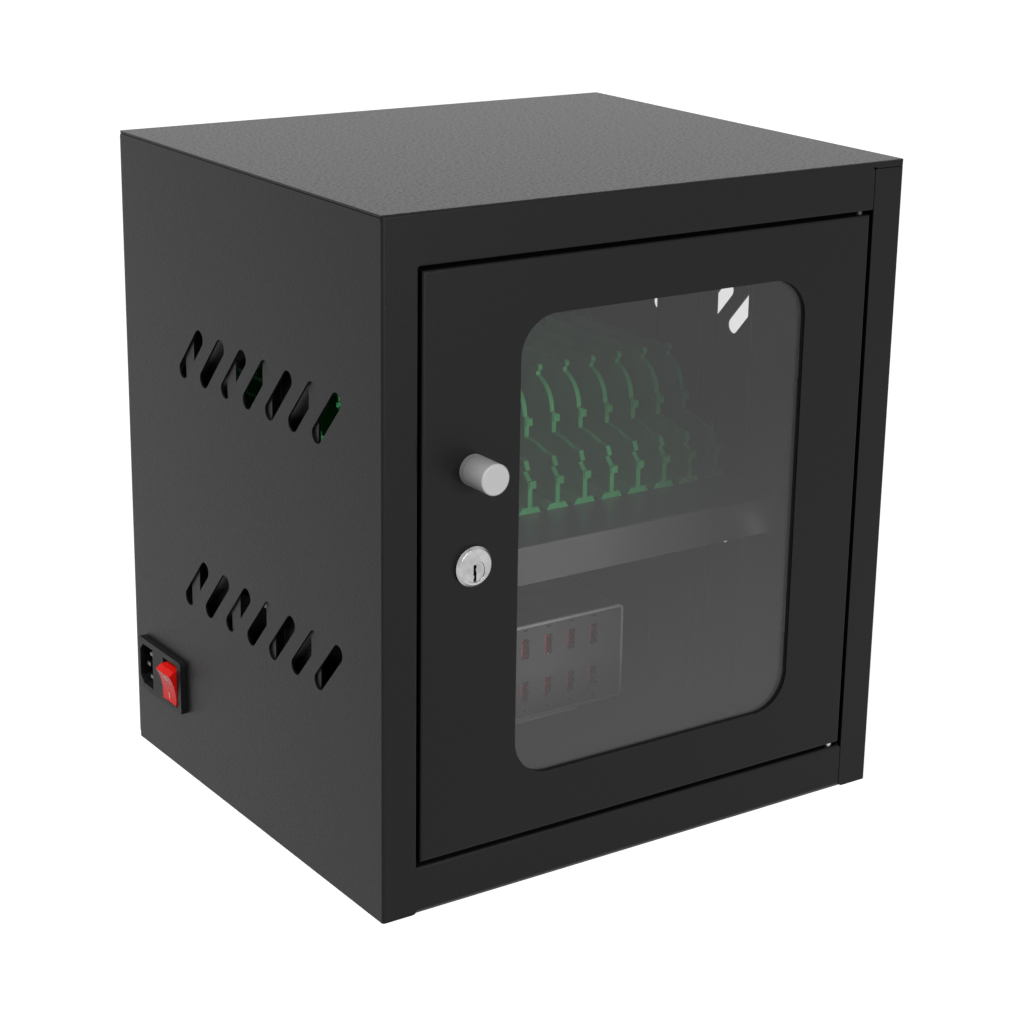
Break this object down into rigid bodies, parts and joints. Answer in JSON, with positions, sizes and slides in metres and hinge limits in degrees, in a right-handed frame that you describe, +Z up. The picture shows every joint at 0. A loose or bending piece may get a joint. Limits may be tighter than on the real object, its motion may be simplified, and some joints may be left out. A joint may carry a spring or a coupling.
{
  "type": "cell phone locker box",
  "caption": "Black sheet-steel phone locker box with a hinged windowed door, key lock, upright green phone slots on a shelf, USB charging hub and mains inlet with rocker switch.",
  "frame": {"origin": "centre of the underside of the base panel", "axes": "+X to the right seen from the front, -Y out of the door, +Z up"},
  "size_m": [0.3321, 0.3022, 0.36],
  "materials": {
    "powder_coat": "fine-textured black powder coat",
    "black_screw": "black oxide",
    "zinc": "zinc plated",
    "pin_steel": "turned",
    "green_plastic": "smooth moulded",
    "charger_plastic": "fine texture",
    "rim_plastic": "satin light grey",
    "faceplate_plastic": "satin",
    "port_steel": "nickel plated",
    "tongue_plastic": "moulded",
    "light_lens": "unlit lens",
    "pad_foam": "foam pad",
    "inlet_plastic": "satin moulded",
    "terminal_brass": "tinned brass",
    "rocker_plastic": "translucent red",
    "gasket_rubber": "matt",
    "clear_pane": "clear acrylic",
    "knob_aluminium": "satin turned",
    "lock_chrome": "polished"
  },
  "bodies": {
    "cabinet": {"left_side_panel": "powder_coat", "right_side_panel": "powder_coat", "top_panel": "powder_coat", "base_panel": "powder_coat", "back_panel": "powder_coat", "back_screws": "black_screw", "left_front_channel": "powder_coat", "left_rear_channel": "powder_coat", "right_front_channel": "powder_coat", "right_rear_channel": "powder_coat", "shelf": "powder_coat", "shelf_rivets": "zinc", "divider_1": "green_plastic", "divider_2": "green_plastic", "divider_3": "green_plastic", "divider_4": "green_plastic", "divider_5": "green_plastic", "divider_6": "green_plastic", "divider_7": "green_plastic", "divider_8": "green_plastic", "divider_9": "green_plastic", "divider_10": "green_plastic", "divider_11": "green_plastic", "divider_12": "green_plastic", "divider_13": "green_plastic", "divider_14": "green_plastic", "divider_15": "green_plastic", "divider_16": "green_plastic", "charger_case": "charger_plastic", "charger_rim": "rim_plastic", "charger_faceplate": "faceplate_plastic", "usb_shells": "port_steel", "usb_tongues": "tongue_plastic", "status_lights": "light_lens", "charger_pad": "pad_foam", "inlet_housing": "inlet_plastic", "inlet_pins": "pin_steel", "inlet_terminals": "terminal_brass", "lower_hinge_pin": "pin_steel"},
    "door": {"door_panel": "powder_coat", "window_gasket": "gasket_rubber", "window_pane": "clear_pane", "pane_clips": "zinc", "pane_studs": "zinc", "knob": "knob_aluminium", "knob_screw": "zinc", "upper_hinge_pin": "black_screw", "lock_housing": "lock_chrome", "lock_nut": "zinc"},
    "lock": {"lock_plug": "lock_chrome", "lock_cam": "zinc", "cam_screw": "zinc"},
    "rocker_switch": {"rocker": "rocker_plastic"}
  },
  "joints": [
    {"name": "door_hinge", "type": "hinge", "parent": "cabinet", "child": "door", "pos_m": [0.1355, -0.1355, 0.18], "axis": [0, 0, 1], "range_deg": [0, 100]},
    {"name": "lock_turn", "type": "hinge", "parent": "door", "child": "lock", "pos_m": [-0.1107, -0.126, 0.1789], "axis": [0, 1, 0], "range_deg": [0, 90]},
    {"name": "rocker_tip", "type": "hinge", "parent": "cabinet", "child": "rocker_switch", "pos_m": [-0.1574, 0.0887, 0.0517], "axis": [0, 1, 0], "range_deg": [0, 24]}
  ]
}
